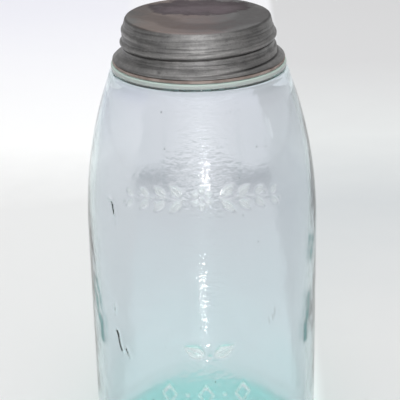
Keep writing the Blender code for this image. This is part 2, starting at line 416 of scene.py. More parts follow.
def shoulder_point(share, inset):
    """A point of the shoulder, a share of the way up, and set into the glass by inset."""
    drop = BODY_RADIUS - SHOULDER_TOP_RADIUS
    radius = BODY_RADIUS - drop * share**SHOULDER_BEND
    steep = drop * SHOULDER_BEND * share ** (SHOULDER_BEND - 1) / SHOULDER_RISE
    height = STRAIGHT_HEIGHT + SHOULDER_RISE * share
    return radius - inset / hypot(1, steep), height - inset * steep / hypot(1, steep)


def jar_outline():
    """The whole outline of the glass, from inside the floor to under the base."""
    heel = BODY_RADIUS - WALL - INNER_HEEL_ROUNDING
    points = dome(DOME_RADIUS, DOME_RISE, FLOOR_THICKNESS)
    points += arc((heel, FLOOR_THICKNESS + INNER_HEEL_ROUNDING), INNER_HEEL_ROUNDING, -90, 0, 12)
    points += [shoulder_point(step / 40, WALL) for step in range(41)]
    low = np.array(points[-1])
    way = low - points[-2]
    way /= np.hypot(*way)
    high = np.array((MOUTH_RADIUS, LEDGE_TOP + NECK_FOOT))
    handles = (low, low + LOW_HANDLE * way, high - (0.0, HIGH_HANDLE), high)
    for step in range(1, 25):
        t = step / 24
        weights = ((1 - t) ** 3, 3 * (1 - t) ** 2 * t, 3 * (1 - t) * t**2, t**3)
        points.append(tuple(sum(w * handle for w, handle in zip(weights, handles))))
    points += arc((MOUTH_RADIUS + LIP_ROUNDING, LIP_TOP - LIP_ROUNDING), LIP_ROUNDING, 180, 90, 8)
    points += arc((NECK_RADIUS - LIP_ROUNDING, LIP_TOP - LIP_ROUNDING), LIP_ROUNDING, 90, 0, 8)
    points += arc((NECK_RADIUS + LEDGE_ROUNDING, LEDGE_TOP + LEDGE_ROUNDING), LEDGE_ROUNDING, 180, 270, 8)
    rim = LEDGE_RADIUS - LEDGE_ROUNDING
    points += arc((rim, LEDGE_TOP - LEDGE_ROUNDING), LEDGE_ROUNDING, 90, 0, 8)
    points += arc((rim, CREASE_Z + LEDGE_ROUNDING), LEDGE_ROUNDING, 0, -45, 4)
    points.append((LEDGE_RADIUS - CREASE_DEPTH, CREASE_Z))
    points += [shoulder_point(1 - step / 80, 0.0) for step in range(81)]
    points += arc((BODY_RADIUS - HEEL_ROUNDING, HEEL_ROUNDING), HEEL_ROUNDING, 0, -90, 20)
    points += reversed(dome(BODY_RADIUS - HEEL_ROUNDING - BEARING_WIDTH, PUSH_UP, 0.0))
    return points


def jar_gap(radius, height):
    """How far apart the rows of points are: close where the glass carries relief."""
    if height > LEDGE_TOP:
        return 0.55 if radius > NECK_RADIUS - 1 else 1.6
    if radius < 43 and height < 22:
        return 2.0
    if height > CREASE_Z - 3:
        return 0.4 if radius > 39 else 0.9
    if height < 22:
        return 1.5
    wall_middle = shoulder_point(max(height - STRAIGHT_HEIGHT, 0) / SHOULDER_RISE, WALL / 2)[0]
    if radius < wall_middle:
        return 3.0
    return 0.75 if 52 < height < 88 or 146 < height < 176 else 2.0


outline = spaced(jar_outline(), jar_gap)
print("outline of the jar:", len(outline), "points, up to", round(outline[:, 1].max(), 2), "mm")

# %% [markdown]
# ## The screw thread of the neck
# The thread is one bulge of glass that climbs round the neck for 1.4 turns, a quarter inch
# for each turn. It could be swept along a helix and joined to the neck, but a bulge that is
# part of the wall is truer to glass, which has no joints. So each point of the neck is asked
# how far it is from the helix, and is pushed out where it is close.

# %% The helix, shared by the neck and the cap
THREAD_PITCH = 6.35
THREAD_LOW = 214.6
THREAD_PHASE = 0.394
THREAD_TURNS = 1.4
THREAD_HEIGHT = 1.5
THREAD_HALF_WIDTH = 0.4 * THREAD_PITCH
THREAD_TAPER = 0.12


def neck_thread(angles, heights):
    """How far the thread stands out of the neck, for angles about +Z from +X."""
    around = angles % tau / tau + THREAD_PHASE
    climbed = (heights - THREAD_LOW) / THREAD_PITCH
    turn = around + np.floor(climbed - around + 0.5)
    offset = np.clip((climbed - turn) * THREAD_PITCH / THREAD_HALF_WIDTH, -1, 1)
    ends = smooth(turn / THREAD_TAPER) * smooth((THREAD_TURNS - turn) / THREAD_TAPER)
    return THREAD_HEIGHT * ends * np.cos(pi / 2 * offset) ** 2


half_up = neck_thread((0.5 - THREAD_PHASE) * tau, THREAD_LOW + THREAD_PITCH / 2)
print("half a turn up, the thread stands", round(float(half_up), 2), "mm out")

# %% [markdown]
# ## What the mould and the hand leave on the glass
# Old glass is never even. Its walls swim by a few hundredths of a millimetre, where the hot
# glass met the cold iron, and its surface has short folds. The mould's two halves leave a seam
# down each side. Its front carries raised ornament: here a laurel garland with a rosette on
# the shoulder, a pair of leaves low on the front, and a row of lozenges and beads below them.
# All of these are heights above the plain outline, so each is a function of the place on the
# unrolled wall, and they are added up.

# %% Ornament of the mould
def ridge(distance, width):
    """A rounded ridge, 1 high on its middle line and 0 at half its width away."""
    return np.cos(pi / 2 * np.clip(distance / (width / 2), 0, 1)) ** 2


def leaf(across, up, base, tilt, length, width):
    """A full, pointed leaf with a sunken rib, growing from its base at a tilt in degrees."""
    turn = radians(tilt)
    along = (across - base[0]) * cos(turn) + (up - base[1]) * sin(turn)
    aside = np.abs((up - base[1]) * cos(turn) - (across - base[0]) * sin(turn))
    share = np.clip(along / length, 0, 1)
    inside = width / 2 * np.sin(pi * share**0.8) - aside
    return smooth(inside / 0.9) * (1 - 0.65 * ridge(aside, 1.3) * (share < 0.85))


GARLAND_MIDDLE = 160.5
GARLAND_ARCH = 3.0
GARLAND_HALF = 40.0
ROSETTE_HEART = 3.2
PETAL_LENGTH = 5.0
PETAL_WIDTH = 3.4
STEM_STARTS = 7.5
STEM_ENDS = 36.0
FIRST_LEAF = 9.0
LEAF_PITCH = 8.6
LEAF_LEAN = 38
LEAF_LENGTH = 9.6
LEAF_WIDTH = 4.4
BERRY_WIDTH = 2.2
PAIR_MIDDLE = 2.0
PAIR_HEIGHT = 80.5
PAIR_LENGTH = 12.0
PAIR_WIDTH = 7.5
BEAD_HEIGHT = 60.0
BEAD_PITCH = 9.0


def garland(across, up):
    """The garland on the front of the shoulder: rosette, two stems, leaves and berries."""
    up = up - GARLAND_MIDDLE + GARLAND_ARCH * (across / GARLAND_HALF) ** 2
    height = 0.9 * ridge(np.hypot(across, up), ROSETTE_HEART)
    for tilt in range(30, 390, 60):
        base = (1.4 * cos(radians(tilt)), 1.4 * sin(radians(tilt)))
        height = np.maximum(height, leaf(across, up, base, tilt, PETAL_LENGTH, PETAL_WIDTH))
    for side in (-1, 1):
        away = across * side
        stem = ridge(np.abs(up - 0.5 * np.sin(away / 2.7)), 1.0)
        height = np.maximum(height, 0.7 * stem * smooth(away - STEM_STARTS) * smooth(STEM_ENDS - away))
        for number in range(4):
            start = FIRST_LEAF + LEAF_PITCH * number
            length = LEAF_LENGTH - 1.1 * number
            width = LEAF_WIDTH - 0.4 * number
            for lean in (-LEAF_LEAN, LEAF_LEAN):
                height = np.maximum(height, leaf(away, up, (start, 0.02 * lean), lean, length, width))
            berry = np.hypot(away - start - 5.2, up - 2.0 * (-1) ** number)
            height = np.maximum(height, 0.8 * ridge(berry, BERRY_WIDTH))
    return height


def leaf_pair(across, up):
    """Two broad leaves that meet at a berry, low on the front."""
    up = up - PAIR_HEIGHT
    across = across - PAIR_MIDDLE
    height = ridge(np.hypot(across, up), 3.4)
    for tilt in (26, 154):
        base = (2.2 * cos(radians(tilt)), 0.4)
        height = np.maximum(height, leaf(across, up, base, tilt, PAIR_LENGTH, PAIR_WIDTH))
    return height


def bead_row(across, up):
    """A short row of lozenges and beads, at the foot of the picture."""
    up = up - BEAD_HEIGHT
    height = np.zeros_like(across)
    for number in range(-2, 3):
        aside = np.abs(across - BEAD_PITCH * number)
        if number % 2:
            height = np.maximum(height, ridge(np.hypot(aside, up), 3.6))
        else:
            height = np.maximum(height, ridge(np.abs(aside / 3.4 + np.abs(up) / 5.0 - 1) * 2.8, 2.0))
    return height


print("garland reaches", round(float(garland(np.array([0.0]), np.array([GARLAND_MIDDLE]))[0]), 2))

# %% Relief of the glass
# Places of short folds: across, up, tilt in degrees, length
FOLDS = (
    (-47.5, 149.0, -60, 11.0),
    (-46.4, 81.0, -67, 11.0),
    (-41.0, 76.5, -50, 5.0),
    (-48.5, 98.0, -85, 1.5),
    (-58.0, 183.0, -84, 6.0),
    (33.0, 96.0, 60, 7.0),
)
FOLD_DEPTH = 0.6
FOLD_WIDTH = 1.7
ORNAMENT_HEIGHT = 0.4
SEAM_HEIGHT = 0.1

# How far the skin of the glass is set in to leave room for the ornament, and how much more
# so in front, below a height and within an angle of the middle
SKIN_INSET = 0.2
LOW_INSET = 0.3
LOW_BELOW = 100
LOW_WITHIN = 0.75

# The swell of each side of the wall, and how much thicker and then thinner the wall gets
OUTER_SWELL = 0.03
INNER_SWELL = 0.04
INNER_RIPPLE = 0.012
THICKER_LOW = 0.6
THINNING = 1.4


def swimming(angles, lengths, seed, waves, smallest, largest):
    """A gentle random swell that closes round the jar, between about -1 and 1."""
    chance = np.random.default_rng(seed)
    total = np.zeros(np.broadcast(angles, lengths).shape)
    for _ in range(waves):
        size = chance.uniform(smallest, largest)
        lean = chance.uniform(0, tau)
        rounds = round(tau * BODY_RADIUS / size * cos(lean))
        total += np.cos(rounds * angles + tau * lengths / size * sin(lean) + chance.uniform(0, tau))
    return total / waves**0.5 / 1.4


def off_stroke(across, up, stroke):
    """How far a place on the wall is from a short wavering stroke."""
    middle, height, tilt, length = stroke
    along = (across - middle) * cos(radians(tilt)) + (up - height) * sin(radians(tilt))
    aside = (up - height) * cos(radians(tilt)) - (across - middle) * sin(radians(tilt))
    past = np.maximum(np.abs(along) - length / 2, 0)
    return np.hypot(aside + 0.6 * np.sin(along / 2.3), past)


def outer_relief(angles, heights, lengths):
    """How far the outside of the glass stands above its plain outline."""
    around = (angles + pi / 2 + pi) % tau - pi
    across = around * BODY_RADIUS
    swell = OUTER_SWELL * swimming(angles, lengths, 3, 20, 24, 60)
    art = garland(across, heights) + 1.15 * leaf_pair(across, heights) + bead_row(across, heights)
    seam = SEAM_HEIGHT * ridge(np.abs(np.abs(around) - pi / 2) * BODY_RADIUS, 1.0)
    folds = np.zeros_like(art)
    for stroke in FOLDS:
        folds -= FOLD_DEPTH * ridge(off_stroke(across, heights, stroke), FOLD_WIDTH)
    low_front = smooth((LOW_BELOW - heights) / 12) * smooth((LOW_WITHIN - np.abs(around)) / 0.3)
    settle = SKIN_INSET + LOW_INSET * low_front
    fade = smooth((CREASE_Z - 2.5 - heights) / 4) * smooth((heights - 1.0) / 8)
    return fade * (swell - settle + ORNAMENT_HEIGHT * art + seam + folds)


def inner_relief(angles, heights, lengths):
    """How far the inside of the glass, which met no mould, stands above its outline."""
    swell = INNER_SWELL * swimming(angles, lengths, 8, 20, 30, 70)
    swell = swell + INNER_RIPPLE * swimming(angles, lengths, 5, 20, 9, 16)
    thicker = THICKER_LOW - THINNING * smooth((heights - 10) / 190)
    settle = smooth((heights - 9) / 28)
    return (swell + thicker) * settle * smooth((205 - heights) / 8)


low_wall = WALL + THICKER_LOW
print("the wall is", round(low_wall, 1), "mm thick low down and", round(low_wall - THINNING, 1), "high up")

# %% [markdown]
# The columns of points are close at the front, where the ornament is, and wider apart round
# the back. Rows on the inside get the inner swell, rows on the outside get the relief, and
# the neck gets its thread.

# %% Model the glass
FRONT_HALF = radians(50)
FRONT_GAP = radians(0.65)
BACK_GAP = radians(2.4)

front = np.arange(-FRONT_HALF, FRONT_HALF, FRONT_GAP)
back_count = round((tau - 2 * FRONT_HALF) / BACK_GAP)
back = np.linspace(FRONT_HALF, tau - FRONT_HALF, back_count, endpoint=False)
angles = np.concatenate([front, back]) - pi / 2
lengths = np.append(0, np.cumsum(np.hypot(*np.diff(outline, axis=0).T)))
out = outward(outline)
lip = int(np.argmax(outline[:, 1] > LIP_TOP - 0.01))
rows = np.arange(len(outline))
grid_angles = np.broadcast_to(angles, (len(outline), len(angles)))
grid_heights = np.broadcast_to(outline[:, 1:2], grid_angles.shape)
grid_lengths = np.broadcast_to(lengths[:, None], grid_angles.shape)
relief = np.where(
    rows[:, None] < lip,
    inner_relief(grid_angles, grid_heights, grid_lengths),
    outer_relief(grid_angles, grid_heights, grid_lengths),
)
relief *= smooth((outline[:, 0] - 1.0) / 12)[:, None]
radii = outline[:, :1] + relief * out[:, :1]
heights = outline[:, 1:] + relief * out[:, 1:]
on_neck = (outline[:, 1] > LEDGE_TOP + LEDGE_ROUNDING) & (outline[:, 1] < LIP_TOP - LIP_ROUNDING)
on_neck &= rows >= lip
radii += on_neck[:, None] * neck_thread(grid_angles, grid_heights)
glass_mesh = turned_mesh("jar_glass", radii, heights, angles)
print("glass:", len(outline), "rows and", len(angles), "columns,", len(glass_mesh.polygons), "faces")

# %% [markdown]
# ## The finish of the glass
# This is aqua soda lime glass: sand with a trace of iron, which takes red out of light that
# passes through it. A thin wall looks nearly clear, and the thick foot and the sides, where
# light runs a long way through glass, look blue green. So the tint belongs to the volume,
# and the surface is plain clear glass of index 1.52 under a thin grey
# film of age. Ripples and a bloom of wear come from noises. The ledge below the cap has a
# crust of lime, left by the wet ring that lay there, and on the top of its rim that pale crust
# is also a painted highlight, where the rounding catches the light. Near both sides dark teal
# streaks of painted shade lie on the surface, for the dark lines that light running inside the
# wall makes there. Lamps would be stopped by glass, because
# the renderer doesn't look for bent light, so shadow rays get a tinted transparent surface.

# %% Aqua soda lime glass
GLASS_TINT = linear("7cf7f0")
GLASS_DENSITY = 27.0
GLASS_IOR = 1.52
FILM = linear("f3eff3")
# Pale lime, which on the top of the ledge's rim is also a painted highlight
LIME_AND_RIM_HIGHLIGHT = linear("c4d4cb")
# Dark teal painted shade for the streaks near both sides
EDGE_SHADE_TEAL = linear("2d6c6c")
RIPPLE_MM = 6.0
RIPPLE_DEPTH_MM = 0.03
STRIAE_MM = 1.5
STRIAE_DEPTH_MM = 0.16
STRIAE_FULL_MM = 4.0
STRIAE_FADED_MM = 22.0
WEAR_MM = 22.0
LIME_COVERS = 0.75

aqua, tree = new_material("aqua soda lime glass")
place = add_node(tree, "TexCoord").outputs["Object"]
ripple = add_node(
    tree, "TexNoise", {"Vector": place, "Scale": 1 / (RIPPLE_MM * MM), "Detail": 1.0, "Roughness": 0.4}
)
wide_bump = add_node(tree, "Bump", {"Height": ripple, "Strength": 1.0, "Distance": RIPPLE_DEPTH_MM * MM})
# Short level ripples, strongest down the middle of the front, where the glass ran in last
level = add_node(tree, "Mapping", {"Vector": place, "Scale": (0.6, 0.6, 1.0)})
striae = add_node(
    tree, "TexNoise", {"Vector": level, "Scale": 1 / (STRIAE_MM * MM), "Detail": 1.0, "Roughness": 0.4}
)
axes = add_node(tree, "SeparateXYZ", {0: place})
aside = add_node(tree, "Math", {0: axes.outputs["X"]}, operation="ABSOLUTE")
rippled = add_node(
    tree, "MapRange",
    {"Value": aside, "From Min": STRIAE_FADED_MM * MM, "From Max": STRIAE_FULL_MM * MM, "To Min": 0.08},
    interpolation_type="SMOOTHSTEP",
)
ripples = add_node(tree, "Math", {0: striae, 1: rippled}, operation="MULTIPLY")
bump = add_node(
    tree, "Bump",
    {"Height": ripples, "Normal": wide_bump, "Strength": 1.0, "Distance": STRIAE_DEPTH_MM * MM},
)
wear = add_node(
    tree, "TexNoise", {"Vector": place, "Scale": 1 / (WEAR_MM * MM), "Detail": 5.0, "Roughness": 0.65}
)
haze = add_node(
    tree, "MapRange", {"Value": wear, "From Min": 0.45, "From Max": 0.75, "To Min": 0.02, "To Max": 0.08}
)
# The lime crust, which on the top of the ledge's rim is also a painted highlight
crust = add_node(tree, "Attribute", attribute_name="lime").outputs["Fac"]
open_glass = add_node(tree, "MapRange", {"Value": crust, "To Min": 1.0, "To Max": 1 - LIME_COVERS})
rough = add_node(tree, "Mix", {"Factor": crust, 2: haze, 3: 0.45}, data_type="FLOAT")
film = add_node(tree, "Mix", {"Factor": crust, 6: FILM, 7: LIME_AND_RIM_HIGHLIGHT}, data_type="RGBA")
# Dark teal painted shade near both sides, for the dark lines that light running inside the wall makes
# there
edge_shade_mask = add_node(tree, "Attribute", attribute_name="edge_shade_mask").outputs["Fac"]
film = add_node(tree, "Mix", {"Factor": edge_shade_mask, 6: film, 7: EDGE_SHADE_TEAL}, data_type="RGBA")
clear = add_node(
    tree, "BsdfPrincipled",
    {
        "Base Color": film, "Roughness": rough, "Transmission Weight": open_glass, "Normal": bump,
        "IOR": GLASS_IOR,
    },
)
passed = add_node(tree, "BsdfTransparent", {"Color": linear("f3fefa")})
path = add_node(tree, "LightPath")
surface = add_node(tree, "MixShader", {0: path.outputs["Is Shadow Ray"], 1: clear, 2: passed})
tint = add_node(tree, "VolumeAbsorption", {"Color": GLASS_TINT, "Density": GLASS_DENSITY})
add_node(tree, "OutputMaterial", {"Surface": surface, "Volume": tint})
lost = [round(GLASS_DENSITY * (1 - part), 1) for part in GLASS_TINT[:3]]
print("light lost per metre of glass, red green blue:", lost)

# %% [markdown]
# ## Seeds
# Seeds are the small gas bubbles that the melt keeps. They lie inside the wall, long in the
# direction in which the glass was drawn. They repeat and follow a surface, so Geometry Nodes
# scatters them: a simple skin halfway through the wall is the surface, a small ball is the
# seed, and its faces are turned about, because they bound the glass from within. The result
# is joined to the glass, of which the seeds are a part.

# %% Scatter the seeds
SEED_COUNT_PER_M2 = 900.0
SEED_RADIUS_MM = 0.22
SEED_SMALLEST = (0.4, 0.4, 0.6)
SEED_LARGEST = (1.3, 1.1, 3.2)
SEED_FACES = 80
SKIN_TOP_SHARE = 0.93
SKIN_FOOT = 22.0
SKIN_COLUMNS = 60


def new_tree(name, sockets):
    """A geometry node tree with named inputs, the sockets that give them and the output node."""
    tree = bpy.data.node_groups.new(name, "GeometryNodeTree")
    tree.interface.new_socket("Geometry", in_out="INPUT", socket_type="NodeSocketGeometry")
    for label, kind in sockets.items():
        tree.interface.new_socket(label, in_out="INPUT", socket_type="NodeSocket" + kind)
    tree.interface.new_socket("Geometry", in_out="OUTPUT", socket_type="NodeSocketGeometry")
    return tree, add_node(tree, "NodeGroupInput").outputs, add_node(tree, "NodeGroupOutput")


def made_by(tree, draft, inputs):
    """The plain mesh that a node tree makes of a draft mesh, with the given inputs."""
    holder = bpy.data.objects.new("draft", draft)
    scene.collection.objects.link(holder)
    modifier = holder.modifiers.new("nodes", "NODES")
    modifier.node_group = tree
    for item in tree.interface.items_tree:
        if item.name in inputs:
            modifier[item.identifier] = inputs[item.name]
    graph = bpy.context.evaluated_depsgraph_get()
    mesh = bpy.data.meshes.new_from_object(holder.evaluated_get(graph))
    bpy.data.objects.remove(holder)
    return mesh


tree, given, result = new_tree(
    "seeds in glass",
    {"Seeds per Area": "Float", "Seed Size": "Float", "Chance": "Int", "Glass": "Material"},
)
spread = add_node(
    tree, "GeometryNodeDistributePointsOnFaces",
    {"Mesh": given["Geometry"], "Density": given["Seeds per Area"], "Seed": given["Chance"]},
)
ball = add_node(tree, "GeometryNodeMeshIcoSphere", {"Radius": given["Seed Size"], "Subdivisions": 2})
size = add_node(
    tree, "FunctionNodeRandomValue",
    {"Seed": given["Chance"], 0: SEED_SMALLEST, 1: SEED_LARGEST},
    data_type="FLOAT_VECTOR",
)
place_seeds = add_node(
    tree, "GeometryNodeInstanceOnPoints", {"Points": spread, "Instance": ball, "Scale": size}
)
real = add_node(tree, "GeometryNodeRealizeInstances", {"Geometry": place_seeds})
turned_about = add_node(tree, "GeometryNodeFlipFaces", {"Mesh": real})
finished = add_node(
    tree, "GeometryNodeSetMaterial", {"Geometry": turned_about, "Material": given["Glass"]}
)
tree.links.new(finished.outputs["Geometry"], result.inputs["Geometry"])

skin = [shoulder_point(share, WALL / 2) for share in np.linspace(SKIN_TOP_SHARE, 0, 24)]
skin.append((BODY_RADIUS - WALL / 2, SKIN_FOOT))
skin_angles = np.linspace(0, tau, SKIN_COLUMNS, endpoint=False)
skin_mesh = turned_mesh("skin", *columns_of(skin, SKIN_COLUMNS), skin_angles)
wanted = {
    "Seeds per Area": SEED_COUNT_PER_M2,
    "Seed Size": SEED_RADIUS_MM * MM,
    "Chance": 4,
    "Glass": aqua,
}
seed_mesh = made_by(tree, skin_mesh, wanted)
seed_mesh.shade_smooth()
whole = bmesh.new()
whole.from_mesh(glass_mesh)
whole.from_mesh(seed_mesh)
whole.to_mesh(glass_mesh)
whole.free()
print("seeds in the wall:", len(seed_mesh.polygons) // SEED_FACES)

# %% [markdown]
# The lime crust is thickest on the rim of the ledge, where the ring held the water, and thin
# on its face; on the top of the rim it is also a painted highlight, where the rounding catches
# the light. Raised ornament gets scuffed by every hand and shelf, which leaves it a little
# white. Near both sides run dark teal streaks of painted shade, for the dark lines that light
# running inside the wall makes there. Each point keeps how much of these lies there, for the
# material.

# %% Lime and a painted highlight on the ledge, scuffs on the ornament, painted shade at the sides
SCUFFS = 0.4
FACE_CRUST = 0.65
CRUST_INNER = 38.5

# Dark teal streaks of painted shade near both sides: across, up, tilt in degrees and length of each, and
# its width
EDGE_SHADE_STROKES = (
    ((-67.5, 92.0, -69, 26.0), 6.0),
    ((-63.5, 81.0, -74, 10.0), 9.0),
    ((68.5, 120.0, 78, 10.0), 7.0),
    ((62.8, 85.0, 78, 22.0), 8.0),
)

places = np.empty(3 * len(glass_mesh.vertices))
glass_mesh.vertices.foreach_get("co", places)
places = places.reshape(-1, 3) / MM
wide = np.hypot(places[:, 0], places[:, 1])
across = BODY_RADIUS * np.arctan2(places[:, 0], -places[:, 1])
up = places[:, 2]
# On the top of the rim the crust is lime and also a painted highlight of the lit rounding
rim_lime_and_highlight = smooth((up - LEDGE_TOP + 0.9) / 0.6)
face_crust = FACE_CRUST * smooth((up - CREASE_Z - 0.4) / 0.8)
lime = np.maximum(rim_lime_and_highlight, face_crust) * smooth((LEDGE_TOP + 0.8 - up) / 0.5)
lime *= smooth((wide - CRUST_INNER) / 1.5)
climb = np.clip((up - STRAIGHT_HEIGHT) / SHOULDER_RISE, 0, 1)
outside = wide > BODY_RADIUS - (BODY_RADIUS - SHOULDER_TOP_RADIUS) * climb**SHOULDER_BEND - WALL / 2
art = garland(across, up) + leaf_pair(across, up) + bead_row(across, up)
lime = np.maximum(lime, SCUFFS * np.clip(art, 0, 1) * outside)
glass_mesh.attributes.new("lime", "FLOAT", "POINT").data.foreach_set("value", lime)
# Painted shade: dark teal streaks near both sides
edge_shade = np.zeros(len(places))
for stroke, width in EDGE_SHADE_STROKES:
    band = np.minimum(2 * ridge(off_stroke(across, up, stroke), width), 1)
    edge_shade = np.maximum(edge_shade, band * outside)
glass_mesh.attributes.new("edge_shade_mask", "FLOAT", "POINT").data.foreach_set("value", edge_shade)
glass = add_piece("jar_glass", glass_mesh, aqua)
print("points with lime:", int((lime > 0.5).sum()))

# %% [markdown]
# ## The rubber ring
# A flat ring of red rubber lies on the ledge. It has dried and paled, and shows as a thin
# pinkish line under the skirt of the cap. Its outline is a slim rectangle with soft corners,
# and its edge wavers a little.

# %% Model the rubber ring
RING_INNER = 35.0
RING_OUTER = 41.1
RING_LOW = 210.5
RING_HIGH = 211.8
RING_ROUNDING = 0.26
RING_WAVER = 0.12

corner_low = RING_LOW + RING_ROUNDING
corner_high = RING_HIGH - RING_ROUNDING
ring_outline = arc((RING_OUTER - RING_ROUNDING, corner_low), RING_ROUNDING, 0, -90, 4)
ring_outline += arc((RING_INNER + RING_ROUNDING, corner_low), RING_ROUNDING, -90, -180, 4)
ring_outline += arc((RING_INNER + RING_ROUNDING, corner_high), RING_ROUNDING, 180, 90, 4)
ring_outline += arc((RING_OUTER - RING_ROUNDING, corner_high), RING_ROUNDING, 90, 0, 4)
ring_angles = np.linspace(0, tau, 192, endpoint=False)
ring_radii, ring_heights = columns_of(ring_outline, len(ring_angles))
waves = np.sin(3 * ring_angles + 1) + np.sin(7 * ring_angles) + np.sin(17 * ring_angles)
waver = RING_WAVER * waves / 3 - RING_WAVER
ring_radii = ring_radii + waver * smooth((ring_radii - 40) / 1.2)
ring_mesh = turned_mesh("ring", ring_radii, ring_heights, ring_angles, closed=True)
broad, thick = round(RING_OUTER - RING_INNER, 1), round(RING_HIGH - RING_LOW, 1)
print("rubber ring:", broad, "mm broad and", thick, "mm thick")

# %% [markdown]
# Aged red rubber is matt, with a dusty bloom that is paler than the body of it, and fine
# cracks. One noise mixes the two colours, and a second one, much finer, roughens it.

# %% Aged red rubber
BLOOM_MM = 5.0
CRACKS_MM = 0.7
CRACK_DEPTH_MM = 0.08

rubber, tree = new_material("aged red rubber")
place = add_node(tree, "TexCoord").outputs["Object"]
bloom = add_node(tree, "TexNoise", {"Vector": place, "Scale": 1 / (BLOOM_MM * MM), "Detail": 4.0})
colour = add_node(tree, "ValToRGB", {"Fac": bloom})
set_stops(colour, ((0.35, "776a64"), (0.65, "978a84")))
cracks = add_node(tree, "TexNoise", {"Vector": place, "Scale": 1 / (CRACKS_MM * MM), "Detail": 3.0})
bump = add_node(tree, "Bump", {"Height": cracks, "Strength": 0.5, "Distance": CRACK_DEPTH_MM * MM})
dry = add_node(
    tree, "BsdfPrincipled",
    {"Base Color": colour, "Normal": bump, "Roughness": 0.82, "Specular IOR Level": 0.3},
)
add_node(tree, "OutputMaterial", {"Surface": dry})
ring = add_piece("rubber_ring_seal", ring_mesh, rubber)

# %% [markdown]
# ## The milk glass disc
# A pressed disc of white glass sits on the lip, with a shallow boss that drops into the
# mouth. Pressed glass takes every detail of its mould, so the underside has turned steps and
# a ring of small beads, such as presses liked to put there.

# %% Model the milk glass disc
LINER_RADIUS = 33.2
LINER_LOW = 228.0
LINER_HIGH = 231.0
LINER_ROUNDING = 0.8
BOSS_RADIUS = 28.9
BOSS_DEPTH = 1.2

# The groove pressed into the boss, from one radius to another, and the beads that stand in it
GROOVE_INNER = 9.0
GROOVE_OUTER = 23.5
GROOVE_SLOPE = 1.0
GROOVE_FLOOR = 0.5
BEADS = 24
BEAD_CIRCLE = 16.5
BEAD_WIDTH = 3.4
BEAD_STANDS = 0.6


def disc_gap(radius, height):
    """How far apart the rows of points are: close on the underside, where the detail is."""
    return 0.35 if 8.5 < radius < 29.5 and height < LINER_LOW + 0.1 else 0.6


rim = LINER_RADIUS - LINER_ROUNDING
boss = LINER_LOW - BOSS_DEPTH
groove = LINER_LOW - GROOVE_FLOOR
disc_outline = [
    (0.0, boss),
    (GROOVE_INNER, boss),
    (GROOVE_INNER + GROOVE_SLOPE, groove),
    (GROOVE_OUTER - GROOVE_SLOPE, groove),
    (GROOVE_OUTER, boss),
    (BOSS_RADIUS - BOSS_DEPTH, boss),
]
disc_outline += arc((BOSS_RADIUS - BOSS_DEPTH, LINER_LOW), BOSS_DEPTH, -90, 0, 6)
disc_outline += arc((rim, LINER_LOW + LINER_ROUNDING), LINER_ROUNDING, -90, 0, 6)
disc_outline += arc((rim, LINER_HIGH - LINER_ROUNDING), LINER_ROUNDING, 0, 90, 6)
disc_outline.append((0.0, LINER_HIGH))
disc = spaced(disc_outline, disc_gap)
disc_angles = np.linspace(0, tau, 240, endpoint=False)
disc_radii, disc_heights = columns_of(disc, len(disc_angles))
off_bead = (disc_angles * BEADS / tau % 1 - 0.5) * tau * BEAD_CIRCLE / BEADS
off_bead = np.hypot(off_bead, disc_radii - BEAD_CIRCLE)
disc_heights = disc_heights - BEAD_STANDS * ridge(off_bead, BEAD_WIDTH) * (disc_heights < LINER_LOW)
disc_mesh = turned_mesh("disc", disc_radii, disc_heights, disc_angles)
print("milk glass disc:", len(disc), "rows, up to", round(LINER_HIGH - boss, 1), "mm thick")

# %% [markdown]
# Opal glass is white all through, because fine crystals scatter the light in it. Light goes
# a little way in before it comes out, which subsurface scattering gives, and the pressed
# skin is glossy. Faint clouds in the white come from a noise.

# %% Opal glass
CLOUDS_MM = 11.0
OPAL_IOR = 1.5
GLOW_DEPTH_MM = (4, 4, 3)

opal, tree = new_material("opal glass")
place = add_node(tree, "TexCoord").outputs["Object"]
clouds = add_node(tree, "TexNoise", {"Vector": place, "Scale": 1 / (CLOUDS_MM * MM), "Detail": 3.0})
colour = add_node(tree, "ValToRGB", {"Fac": clouds})
set_stops(colour, ((0.3, "dfe3de"), (0.7, "eef0ec")))
gloss = add_node(
    tree, "MapRange", {"Value": clouds, "From Min": 0.3, "From Max": 0.7, "To Min": 0.12, "To Max": 0.3}
)
milk = add_node(
    tree, "BsdfPrincipled",
    {
        "Base Color": colour, "Roughness": gloss, "Subsurface Weight": 0.25,
        "Subsurface Radius": [MM * deep for deep in GLOW_DEPTH_MM], "IOR": OPAL_IOR,
    },
)
add_node(tree, "OutputMaterial", {"Surface": milk})
liner = add_piece("opal_disc", disc_mesh, opal)

# %% [markdown]
# ## The zinc cap
# The cap is drawn from one sheet of zinc, 0.7 mm thick, and its wall is rolled between two
# wheels, which press the thread in: a round rib that climbs the wall, with a faint crease
# above it, a sharp deep one below it, and a flat band between its turns. Its shape follows a
# rule, the helix of the neck, so Geometry Nodes makes it. The outline of the sheet goes in as
# a line, and the tree sweeps it once round, rolls the rib into the wall, and adds soft dents
# and a few deep knocks. Curve to Mesh lays the line's X away from the axis, starting at the
# sweep's own radius, and its Y downwards, so the line is drawn that way.

# %% Outline of the sheet
CAP_TOP = 231.98
CAP_EDGE = 212.1
CAP_WALL_RADIUS = 36.0
CAP_ROUNDING = 1.6
CAP_TOP_RADIUS = 34.6
CAP_STEP_FOOT = 228.6
SKIRT_RADIUS = 40.8
SKIRT_LIP = 0.3
FLARE_HEIGHT = 3.6
FLARE_SWELL = 0.04
TOP_NARROWING = 0.9
NARROWING_FOOT = 225.0
NARROWING_RISE = 3.6
SHEET = 0.7
EDGE_LIFT = 0.15
SWEEP_RADIUS = 10.0

# Lines turned into the wall: height, width, how far they stand out
TURNED_LINES = (
    (227.5, 0.7, -0.22),
    (226.6, 0.6, 0.1),
    (224.6, 0.5, -0.1),
    (216.8, 0.4, -0.12),
    (213.2, 0.5, 0.1),
)


